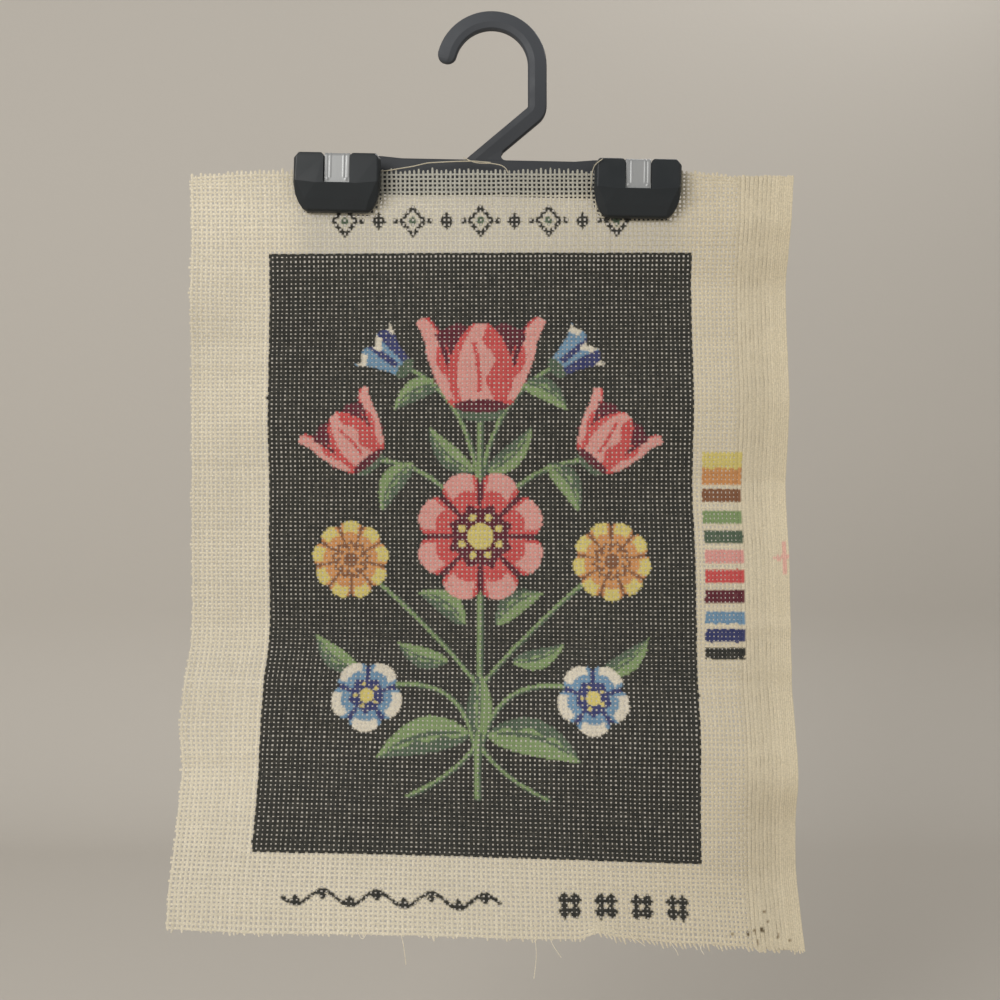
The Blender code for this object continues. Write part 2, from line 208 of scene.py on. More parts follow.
# The colour key's rows, top line, bottom line and ink, its sides, and how far it leans over its height
KEY_LEFT = 113.2
KEY_RIGHT = 122.8
KEY_LEAN = 0.24 / 46
KEY_TOP_LINE = 66.0
KEY_ROWS = (
    (65.9, 69.5, YELLOW),
    (69.5, 73.3, ORANGE),
    (74.1, 77.2, BROWN),
    (79.2, 82.2, GREEN),
    (83.8, 86.6, DARK_GREEN),
    (88.2, 91.3, PINK),
    (92.6, 95.6, RED),
    (97.3, 100.3, MAROON),
    (102.2, 105.0, LIGHT_BLUE),
    (106.1, 109.4, INDIGO),
    (110.7, 113.6, BLACK),
)

# The register mark: its line, middle and half length of its tick, place and half length of its upright
MARK_LINE = 90.0
MARK_TICK = (131.9, 2.1)
MARK_UPRIGHT = (132.9, 3.9)

# Stains: warp line, weft line, radius and colour
STAIN_ROWS = (
    (125.2, 168.4, 0.9, STAIN),
    (126.1, 170.6, 0.8, STAIN),
    (124.5, 172.3, 1.15, DARK_STAIN),
    (122.7, 172.7, 0.85, STAIN),
    (121.1, 173.2, 1.1, DARK_STAIN),
    (123.1, 174.7, 0.8, STAIN),
    (128.1, 173.3, 0.8, STAIN),
    (130.6, 173.9, 0.8, STAIN),
    (117.3, 173.5, 0.6, STAIN),
    (114.7, 168.2, 0.6, STAIN),
)


def linear(colour):
    """Eye values of 0 to 255 as the light values that a shader takes."""
    part = np.asarray(colour, float) / 255.0
    return np.where(part <= 0.04045, part / 12.92, ((part + 0.055) / 1.055) ** 2.4)


def smooth_through(knots, values, at):
    """The cloth's smooth curve through values, one row for each knot, that never swings past them."""
    knots = np.asarray(knots, float)
    at = np.clip(np.asarray(at, float), knots[0], knots[-1])
    values = np.asarray(values, float)
    if values.ndim == 1:
        values = np.repeat(values[:, None], at.size, axis=1)
    steps = np.diff(knots)[:, None]
    rises = np.diff(values, axis=0) / steps
    slopes = np.concatenate((rises[:1], np.zeros_like(rises[1:]), rises[-1:]))
    before, after = steps[:-1], steps[1:]
    turning = rises[:-1] * rises[1:] <= 0
    first = np.where(turning, 1.0, rises[:-1])
    second = np.where(turning, 1.0, rises[1:])
    mean = (before + after) * 3 / ((2 * after + before) / first + (after + 2 * before) / second)
    slopes[1:-1] = np.where(turning, 0.0, mean)
    i = np.clip(np.searchsorted(knots, at, side="left") - 1, 0, len(knots) - 2)
    n = np.arange(at.size)
    step = np.diff(knots)[i]
    t = (at - knots[i]) / step
    return (values[i, n] * (1 + 2 * t) * (1 - t) ** 2 + slopes[i, n] * step * t * (1 - t) ** 2
            + values[i + 1, n] * t * t * (3 - 2 * t) + slopes[i + 1, n] * step * t * t * (t - 1))


def sheet_place(warp, line):
    """Middle of the cloth in millimetres at thread counts from its left and top edges."""
    warp, line = np.broadcast_arrays(np.asarray(warp, float), np.asarray(line, float))
    shape = warp.shape
    warp, line = warp.ravel(), line.ravel()
    folds, sides = np.array(FOLD_ROWS, float), np.array(SIDE_ROWS, float)
    left, middle, right, *depths = (smooth_through(folds[:, 0], folds[:, c], line) for c in range(1, 9))
    edges = np.array([smooth_through(sides[:, 0], sides[:, c], line) for c in range(1, 5)])
    stations = np.array((0.0, FIELD_START, FIELD_END, WARP_LINES))
    i = np.clip(np.searchsorted(stations, warp, side="left") - 1, 0, 2)
    n = np.arange(warp.size)
    t = (warp - stations[i]) / (stations[i + 1] - stations[i])
    x = edges[i, n] + (edges[i + 1, n] - edges[i, n]) * t
    share = warp / WARP_LINES
    drop = left + share * (4 * middle - 3 * left - right) + share * share * 2 * (left + right - 2 * middle)
    drop += (line - np.clip(line, 0, WEFT_LINES)) * WEFT_PITCH
    knots = (0.0, FIELD_START, (FIELD_START + FIELD_END) / 2, FIELD_END, WARP_LINES)
    y = SHEET_PLANE_Y + smooth_through(knots, np.array(depths), warp)
    for middle_line, climb, depth, half in CREASE_ROWS:
        y = y + depth * np.exp(-((line - middle_line + climb * (share - 0.5)) / half) ** 2)
    top, bottom = np.array(TOP_CUT_ROWS), np.array(BOTTOM_CUT_ROWS)
    near_top = np.clip(1 - line / CUT_FADE_LINES, 0, 1)
    near_bottom = np.clip(1 - (WEFT_LINES - line) / CUT_FADE_LINES, 0, 1)
    drop += np.interp(share, top[:, 0], top[:, 1]) * near_top
    drop -= np.interp(share, bottom[:, 0], bottom[:, 1]) * near_bottom
    return np.stack((x, y, SHEET_TOP_Z - drop), axis=-1).reshape(shape + (3,))


def unit(vectors):
    return vectors / np.maximum(np.linalg.norm(vectors, axis=-1, keepdims=True), 1e-12)


def sheet_front(warp, line):
    """Direction that the printed face looks in."""
    across = sheet_place(warp + 0.5, line) - sheet_place(warp - 0.5, line)
    down = sheet_place(warp, line + 0.5) - sheet_place(warp, line - 0.5)
    return unit(np.cross(down, across))


# Motifs: each one returns where it covers the points x, y, in millimetres from the field's middle
def turned(x, y, centre, degrees):
    a = math.radians(degrees)
    dx, dy = x - centre[0], y - centre[1]
    return dx * math.cos(a) + dy * math.sin(a), -dx * math.sin(a) + dy * math.cos(a)


def oval(x, y, centre, wide, tall, degrees=0.0):
    across, up = turned(x, y, centre, degrees)
    return (across / wide) ** 2 + (up / tall) ** 2 < 1


def blade(x, y, root, tip, wide, bend):
    """A leaf or petal from root to tip, bent to one side. Returns its share along and across."""
    run = np.subtract(tip, root)
    length = math.hypot(*run)
    along = ((x - root[0]) * run[0] + (y - root[1]) * run[1]) / length ** 2
    off = ((y - root[1]) * run[0] - (x - root[0]) * run[1]) / length
    inside = np.clip(along, 0, 1)
    half = wide / 2 * np.sin(np.pi * inside ** 0.8) ** 0.85 + 1e-6
    return along, np.where((along > 0) & (along < 1), (off - bend * 4 * inside * (1 - inside)) / half, 9.0)


def line_through(x, y, start, pull, end, wide, taper=1.0):
    """A drawn stem along a bent line from start to end."""
    covered = np.zeros(x.shape, bool)
    steps = 26
    t = np.linspace(0, 1, steps)[:, None]
    path = (1 - t) ** 2 * np.array(start) + 2 * t * (1 - t) * np.array(pull) + t * t * np.array(end)
    for k in range(steps - 1):
        a, b = path[k], path[k + 1]
        run = b - a
        share = np.clip(((x - a[0]) * run[0] + (y - a[1]) * run[1]) / (run @ run), 0, 1)
        half = wide / 2 * (1 + (taper - 1) * k / steps)
        covered |= (x - a[0] - share * run[0]) ** 2 + (y - a[1] - share * run[1]) ** 2 < half * half
    return covered


class Print:
    """The colours of a set of points on the cloth's face, painted one motif over another."""

    def __init__(self, warp, line):
        self.x = (warp - (FIELD_START + FIELD_END) / 2) * WARP_PITCH
        self.y = (FIELD_MIDDLE_LINE - line) * WEFT_PITCH
        self.colour = np.tile(np.array(ECRU, float), (warp.size, 1))
        self.inked = np.zeros(warp.size)

    def ink(self, where, colour, cover=1.0):
        self.colour[where] = colour
        self.inked[where] = cover

    def leaf(self, root, tip, wide, bend, light=GREEN, dark=DARK_GREEN):
        along, across = blade(self.x, self.y, root, tip, wide, bend)
        body = np.abs(across) < 1
        self.ink(body, light)
        toothed = across > 0.12 + 0.3 * np.abs(np.sin(along * 11.0))
        self.ink(body & toothed, dark)
        self.ink(body & (np.abs(across) < 0.13) & (along > 0.1) & (along < 0.86), dark)

    def stem(self, start, pull, end, wide=2.4, colour=GREEN, shade=DARK_GREEN):
        self.ink(line_through(self.x, self.y, start, pull, end, wide), shade)
        lit = (start[0] - 0.5, start[1] + 0.3), (pull[0] - 0.5, pull[1] + 0.3), (end[0] - 0.5, end[1] + 0.3)
        self.ink(line_through(self.x, self.y, *lit, wide * 0.62), colour)

    def tulip(self, base, size, degrees):
        """A cup of three broad petals with curled tips, opening along its own upward direction."""
        x, y = turned(self.x, self.y, base, degrees)
        x, y = x / size, y / size
        back = (y > 0.3) & (y < 0.98 - 0.5 * np.abs(np.abs(x) - 0.26)) & (np.abs(x) < 0.52)
        self.ink(back, MAROON)
        for side in (-1, 1):
            across = side * x
            rim = 0.2 + 0.4 * np.sqrt(np.clip(y / 0.62, 0, 1)) + 0.16 * np.clip((y - 0.62) / 0.4, 0, 1) ** 2
            crown = 1.04 - 2.4 * np.abs(across - 0.62) ** 1.6
            inner = 0.1 + 0.42 * np.clip(y, 0, 1) ** 1.4
            petal = (y > 0) & (y < crown) & (across < rim) & (across > inner - 0.32)
            self.ink(petal, RED)
            self.ink(petal & (across > rim - 0.13 - 0.05 * np.sin(y * 9.0)) & (y > 0.12), PINK)
            self.ink(petal & (across < inner + 0.02), MAROON)
            vein = np.abs(across - 0.34 * y - 0.18) < 0.018 + 0.02 * y
            self.ink(petal & vein & (y > 0.3) & (y < 0.86), MAROON)
        half = 0.36 * np.sin(np.pi * np.clip((y + 0.12) / 1.12, 0, 1) ** 0.9) ** 0.6
        middle = (y > -0.02) & (y < 0.97) & (np.abs(x) < half)
        self.ink(middle, PINK)
        self.ink(middle & (x > 0.3 * half + 0.05 * np.sin(y * 14.0)), RED)
        self.ink(middle & (x < -0.72 * half), RED)
        self.ink(middle & (np.abs(x + 0.05 - 0.04 * np.sin(y * 5.0)) < 0.025) & (y > 0.2) & (y < 0.76), RED)
        self.ink(oval(x, y, (0, 0.0), 0.26, 0.12), DARK_GREEN)
        self.ink(oval(x, y, (0, 0.05), 0.3, 0.07), MAROON)

    def rosette(self, centre, radius, petals, tones, turn=0.0, cut=0.24):
        """A round flower seen from the front: petals, an inner ring and an eye."""
        body, light, shade, ring, eye = tones
        dx, dy = (self.x - centre[0]) / radius, (self.y - centre[1]) / radius
        far, angle = np.hypot(dx, dy), np.arctan2(dy, dx) + math.radians(turn)
        wave = np.abs(np.cos(angle * petals / 2))
        edge = 1 - cut * (1 - wave ** 0.6)
        whole = far < edge
        self.ink(whole, body)
        self.ink(whole & (far > edge * 0.72) & (wave > 0.5), light)
        self.ink(whole & (wave < 0.2 + 0.16 * (1 - far)) & (far > 0.3), shade)
        inner = 0.52 * (1 - 0.2 * np.abs(np.sin(angle * petals / 2)))
        self.ink(whole & (far < inner), ring)
        self.ink(whole & (far < inner) & (far > inner - 0.09), shade)
        self.ink(far < 0.2, eye)
        for k in range(petals):
            a = 2 * math.pi * (k + 0.5) / petals
            dot = (dx - 0.31 * math.cos(a)) ** 2 + (dy - 0.31 * math.sin(a)) ** 2 < 0.0032
            self.ink(dot, eye)

    def bell(self, base, size, degrees):
        """A small blue bell with a scalloped mouth and pale tips."""
        x, y = turned(self.x, self.y, base, degrees)
        x, y = x / size, y / size
        mouth = 0.86 + 0.14 * np.abs(np.sin(x * 6.2))
        half = 0.24 + 0.42 * np.clip(y, 0, 1) ** 1.7
        body = (y > 0) & (y < mouth) & (np.abs(x) < half)
        self.ink(body, LIGHT_BLUE)
        self.ink(body & (x > half * 0.35), INDIGO)
        self.ink(body & (np.abs(x + 0.06) < 0.07) & (y > 0.2), INDIGO)
        self.ink(body & (y > mouth - 0.17) & (np.sin(x * 12.4 + 0.6) > -0.1), IVORY)
        self.ink(oval(x, y, (0, 0.02), 0.26, 0.13), DARK_GREEN)


def draw_field(work, warp, line):
    """The black ground and a mirrored folk plant of tulips, rosettes, bells and leaves."""
    work.ink((warp > FIELD_START - FIELD_BLEED) & (warp < FIELD_END + FIELD_BLEED)
             & (line > FIELD_TOP_LINE) & (line < FIELD_BOTTOM_LINE), BLACK)
    red_tones = (RED, PINK, MAROON, MAROON, YELLOW)
    orange_tones = (ORANGE, YELLOW, BROWN, ORANGE, BROWN)
    blue_tones = (LIGHT_BLUE, IVORY, INDIGO, INDIGO, YELLOW)
    for side in (-1, 1):
        def at(x, y):
            return (side * x, y)
        work.stem(at(0, -112), at(2, -60), at(50, -70))
        work.stem(at(0, -70), at(30, -30), at(62, -8))
        work.stem(at(0, 2), at(14, 44), at(56, 46))
        work.stem(at(0, 30), at(6, 78), at(38, 92))
        work.stem(at(0, -96), at(12, -112), at(34, -122), 2.2)
        work.leaf(at(4, -92), at(50, -104), 17, 5.0 * side)
        work.leaf(at(16, -56), at(42, -46), 11, -3.0 * side)
        work.leaf(at(8, -36), at(32, -20), 12, 4.0 * side)
        work.leaf(at(34, 44), at(50, 20), 12, 4.0 * side)
        work.leaf(at(3, 40), at(26, 62), 11, -3.5 * side)
        work.leaf(at(20, 84), at(44, 70), 11, 3.5 * side)
        work.leaf(at(60, -62), at(84, -42), 11, -3.0 * side)
        work.tulip(at(56, 44), 31, -side * 38)
        work.rosette(at(66, -4), 19.5, 9, orange_tones, turn=10 * side, cut=0.14)
        work.rosette(at(56, -74), 18, 5, blue_tones, turn=90)
        work.bell(at(38, 91), 23, -side * 52)
    work.stem((0, -122), (0, -10), (0, 78), 3.0)
    work.tulip((0, 70), 46, 0)
    work.leaf((0, -92), (0, -62), 12, 0)
    work.rosette((0, 8), 33, 8, red_tones, turn=22.5, cut=0.2)


def lozenge(warp, line, centre, tall):
    """Share of the way from a lozenge's middle to its rim."""
    return np.abs(warp - centre[0]) / (0.86 * tall) + np.abs(line - centre[1]) / tall


def draw_margins(work, warp, line):
    """Small plain ornaments above and below the field, the colour key, the register mark and stains."""
    for k in range(ROW_COUNT):
        large = k % 2 == 0
        reach = lozenge(warp, line, (ROW_START + ROW_STEP * k, ROW_LINE), 3.7 if large else 2.0)
        work.ink((reach < 1) & ((reach > 0.62) | (not large)), BLACK, 0.9)
        work.ink(large & (reach < 0.34), DARK_GREEN, 0.9)
    for k in range(ROW_COUNT - 1):
        dot = (warp - ROW_START - ROW_STEP * (k + 0.5)) ** 2 + (line - ROW_LINE) ** 2 < ROW_DOT
        work.ink(dot, BLACK, 0.9)
    for k in range(ORNAMENT_COUNT):
        for turn in range(4):
            a = math.pi / 4 + turn * math.pi / 2
            petal = (ORNAMENT_START + ORNAMENT_STEP * k + 1.55 * math.cos(a),
                     ORNAMENT_LINE + ORNAMENT_PETAL * math.sin(a))
            work.ink(lozenge(warp, line, petal, ORNAMENT_PETAL) < 1, BLACK, 0.9)
    left, right = WAVE_SPAN
    wave = WAVE_LINE + WAVE_HEIGHT * np.sin((warp - left) * 2 * np.pi / WAVE_LENGTH)
    work.ink((warp > left) & (warp < right) & (np.abs(line - wave) < FINE_LINE), BLACK, 0.75)
    for k in range(WAVE_LEAVES):
        leaf = (left + WAVE_LENGTH / 4 + WAVE_LENGTH / 2 * k, WAVE_LINE + (0.5 if k % 2 == 0 else -0.5))
        work.ink(lozenge(warp, line, leaf, 1.15) < 1, BLACK, 0.75)
    lean = KEY_LEAN * (line - KEY_TOP_LINE)
    beside = (warp > KEY_LEFT - lean) & (warp < KEY_RIGHT - lean)
    for top, bottom, colour in KEY_ROWS:
        work.ink(beside & (line > top) & (line < bottom), colour)
    middle, half = MARK_TICK
    work.ink((np.abs(line - MARK_LINE) < FINE_LINE) & (np.abs(warp - middle) < half), MARK_PINK, 0.5)
    place, half = MARK_UPRIGHT
    work.ink((np.abs(warp - place) < FINE_LINE) & (np.abs(line - MARK_LINE) < half), MARK_PINK, 0.5)
    for place, drop, radius, colour in STAIN_ROWS:
        spot = (warp - place) ** 2 * WARP_PITCH ** 2 + (line - drop) ** 2 * WEFT_PITCH ** 2 < radius ** 2
        work.ink(spot, colour, 0.9)


def print_colours(warp, line):
    work = Print(warp, line)
    draw_field(work, warp, line)
    draw_margins(work, warp, line)
    return work.colour, work.inked


def wander(rng, count, stations, reach, waves=DRIFT_WAVES):
    """A slow sideways drift of each of count threads along its stations."""
    total = np.zeros((count, stations.size))
    for length in waves:
        phase, turn = rng.uniform(0, 2 * np.pi, (count, 1)), rng.uniform(0.8, 1.25, (count, 1))
        total += np.sin(stations / length * 2 * np.pi * turn + phase)
    return total * reach / len(waves)


def tube_mesh(places, fronts, half_wide, half_deep, spare):
    """Four-sided closed tubes, one for each row of places, without the spare stations at their two ends."""
    runs = unit(np.gradient(places, axis=1))
    sides = unit(np.cross(runs, fronts))
    outs = np.cross(sides, runs)
    corners = np.stack((places + outs * half_deep[..., None], places + sides * half_wide[..., None],
                        places - outs * half_deep[..., None], places - sides * half_wide[..., None]), axis=2)
    corners = corners[:, spare[0]:places.shape[1] - spare[1]]
    count, stations = corners.shape[:2]
    index = np.arange(count * stations * 4).reshape(count, stations, 4)
    here, there = index[:, :-1], index[:, 1:]
    walls = np.stack((here, np.roll(here, -1, axis=2), np.roll(there, -1, axis=2), there), axis=-1)
    near = index[:, 0][:, ::-1]
    far = index[:, -1]
    return corners.reshape(-1, 3), walls, near, far


def new_mesh(name, vertices, quads, look, colours=None, atlas=None):
    mesh = bpy.data.meshes.new(name)
    mesh.vertices.add(len(vertices))
    mesh.vertices.foreach_set("co", np.ascontiguousarray(vertices * MM, np.float32).ravel())
    mesh.loops.add(quads.size)
    mesh.loops.foreach_set("vertex_index", np.ascontiguousarray(quads, np.int32).ravel())
    mesh.polygons.add(len(quads))
    mesh.polygons.foreach_set("loop_start", np.arange(0, quads.size, 4, dtype=np.int32))
    mesh.update(calc_edges=True)
    mesh.polygons.foreach_set("use_smooth", np.ones(len(quads), bool))
    if colours is not None:
        layer = mesh.attributes.new("print", "FLOAT_COLOR", "CORNER")
        layer.data.foreach_set("color", np.ascontiguousarray(colours, np.float32).ravel())
    if atlas is not None:
        layer = mesh.uv_layers.new(name="OFBake")
        layer.data.foreach_set("uv", np.ascontiguousarray(atlas, np.float32).ravel())
    mesh.materials.append(look)
    made = bpy.data.objects.new(name, mesh)
    bpy.context.scene.collection.objects.link(made)
    return made


class Yarns:
    """Threads gathered for one mesh, with a colour for each corner and a patch of the texture for each face."""

    def __init__(self):
        self.vertices, self.quads, self.colours = [], [], []
        self.offset = 0

    def add(self, places, fronts, half_wide, half_deep, wall_colours, spare=(0, 0)):
        vertices, walls, near, far = tube_mesh(places, fronts, half_wide, half_deep, spare)
        here, there = wall_colours[:, :-1], wall_colours[:, 1:]
        loops = np.stack((here[..., 0, :], here[..., 1, :], there[..., 1, :], there[..., 0, :]), axis=3)
        near_cap, far_cap = (np.repeat(wall_colours[:, end, 0, :1], 4, axis=1) for end in (0, -1))
        self.vertices.append(vertices)
        parts = ((walls.reshape(-1, 4), loops.reshape(-1, 4, 3)), (near, near_cap), (far, far_cap))
        for quads, colours in parts:
            self.quads.append(quads + self.offset)
            self.colours.append(colours)
        self.offset += len(vertices)

    def build(self, name, look):
        quads, colours = np.concatenate(self.quads), np.concatenate(self.colours)
        side = math.ceil(math.sqrt(len(quads)))
        cell = np.arange(len(quads))
        corner = np.array(((0.1, 0.1), (0.9, 0.1), (0.9, 0.9), (0.1, 0.9)))
        atlas = (np.stack((cell % side, cell // side), axis=-1)[:, None] + corner) / side
        full = np.concatenate((colours, np.ones((len(colours), 4, 1))), axis=-1)
        made = new_mesh(name, np.concatenate(self.vertices), quads, look, full, atlas)
        made.data.set_sharp_from_angle(angle=math.radians(70))
        return made


def density(warp):
    """How far the warp is crowded together, 0 to 1, towards the selvedge at the right."""
    share = np.clip((warp - DENSE_START) / DENSE_RUN, 0, 1)
    return share * share * (3 - 2 * share)


def between_clips(warp, line):
    """How far the canvas is pulled open and given painted shade between the clips, 0 to 1."""
    across = np.clip((OPEN_HALF - np.abs(warp - OPEN_MIDDLE)) / OPEN_EDGE, 0, 1)
    return across * np.clip((OPEN_END_LINE - line) / OPEN_FADE, 0, 1)


def thread_colours(warp, line, across_warp, across_line, tones, rng):
    """Colours at each station of both corners of each wall, the print on the front and a fainter one behind,
    and where the thread is inked. The offsets lead from its middle to the side that wall 0 ends on."""
    # Painted shade: the cloth darkens towards the right, between the clips, and most of all before the bar,
    # where less light falls on it
    right_shade = np.clip((warp - RIGHT_SHADE_FROM) / (WARP_LINES - RIGHT_SHADE_FROM), 0, 1)[..., None]
    shade = between_clips(warp, line)[..., None]
    bar_shade = shade * np.clip((BAR_END_LINE - line) / BAR_FADE, 0, 1)[..., None]
    cloth = np.array(ECRU) * (1 - np.array(RIGHT_SHADE_LOSS) * right_shade) * (1 - np.array(SHADED) * shade)
    cloth = cloth * (1 - np.array(BAR_SHADE_LOSS) * bar_shade)
    u, v = warp + rng.normal(0, INK_RAGGED, warp.shape), line + rng.normal(0, INK_RAGGED, warp.shape)
    front_keep = FRONT_INK[0] + rng.normal(0, FRONT_INK[1], warp.shape)
    back_keep = BACK_INK[0] + rng.normal(0, BACK_INK[1], warp.shape)
    front, back = {}, {}
    for push in (1, 0, -1):
        colour, inked = print_colours((u + across_warp * push).ravel(), (v + across_line * push).ravel())
        colour, inked = colour.reshape(cloth.shape), inked.reshape(warp.shape)
        for made, keep in ((front, front_keep), (back, back_keep)):
            share = np.where(inked > 0, np.clip(keep, 0, 1), 0)[..., None]
            made[push] = linear(np.clip((cloth + (colour - cloth) * share) * tones[:, None, None], 0, 255))
        if push == 0:
            cover = inked
    corners = ((front[0], front[1]), (back[1], back[0]), (back[0], back[-1]), (front[-1], front[0]))
    return np.stack([np.stack(pair, axis=2) for pair in corners], axis=2), cover


# Threads that hang loose: warp and weft line of the root, half width, and points across, out and down in mm
LOOSE_TOP = (
    (42.2, 0.6, 0.26, ((0, 0, 0), (3.4, 1.1, 0.2), (9.9, 1.3, -0.9), (16.4, 1.3, -1.9), (23.4, 1.3, -3.7),
                       (36.7, 1.3, -4.4), (46.8, 1.4, -4.6), (55.4, 1.2, -3.9))),
    (70.2, 0.5, 0.24, ((0, 0.1, 1.4), (-0.6, 0.9, -0.6), (-3.4, 1.4, -2.2), (-9.5, 1.5, -3.1),
                       (-15.0, 1.5, -3.0), (-18.5, 1.5, -3.9), (-22.5, 1.5, -6.0))),
    (88.3, 5.6, 0.22, ((0, 0.3, 0), (0.3, 1.2, -3.5), (0.5, 3.0, -6.0), (0.6, 6.0, -8.5), (1.2, 8.8, -10.6),
                       (5.4, 9.2, -13.6))),
)
LOOSE_BOTTOM = (
    (75.2, 175.2, 0.15, ((0, 0.4, 0), (0.4, 0.7, 4.0), (0.7, 0.7, 9.0), (0.2, 0.5, 14.0), (-0.5, 0.3, 19.5))),
    (78.2, 175.4, 0.15, ((0, 0.4, 0), (1.2, 0.8, 3.2), (3.3, 0.8, 6.2), (5.4, 0.6, 9.2))),
    (48.0, 175.2, 0.17, ((0, 0.4, 0), (1.2, 0.8, 3.6), (1.9, 0.8, 8.3), (2.7, 0.6, 14.5))),
    (39.6, 175.4, 0.15, ((0, 0.4, 0), (1.0, 0.8, 2.6), (2.0, 0.9, 3.3), (2.8, 0.8, 2.0), (3.6, 0.5, 0.4))),
    (94.8, 174.6, 0.16, ((0, 0.4, 0), (2.2, 0.9, 2.6), (5.0, 1.0, 3.4), (7.4, 0.8, 5.8))),
    (103.4, 175.4, 0.16, ((0, 0.4, 0), (1.2, 0.8, 2.4), (3.4, 1.0, 4.6), (3.8, 0.8, 6.6))),
    (110.2, 175.4, 0.16, ((0, 0.4, 0), (-1.0, 0.8, 2.6), (0.8, 0.9, 5.4))),
)
LOOSE_TOP_TONE = 0.93
LOOSE_BOTTOM_TONE = 1.1
LOOSE_STEP = 1.2


def loose_threads(yarns, rows, tone):
    """Each loose thread as a thin round tube that starts in the cloth."""
    for warp, line, half, way in rows:
        way = np.array(way, float)
        lengths = np.concatenate(((0,), np.cumsum(np.linalg.norm(np.diff(way, axis=0), axis=1))))
        steps = np.linspace(0, lengths[-1], max(8, int(lengths[-1] / LOOSE_STEP)))
        across, out, down = (np.interp(steps, lengths, way[:, k]) for k in range(3))
        for _ in range(2):
            for line_of in (across, out, down):
                line_of[1:-1] = (line_of[:-2] + line_of[1:-1] + line_of[2:]) / 3
        root = sheet_place(warp, line)
        places = (root + np.stack((across, -out, -down), axis=-1))[None]
        fronts = np.tile(np.array((0.0, -1.0, 0.0)), (1, steps.size, 1))
        size = np.full((1, steps.size), half)
        shade = np.tile(linear(np.array(ECRU) * tone), (1, steps.size, 4, 2, 1))
        yarns.add(places, fronts, size, size, shade)


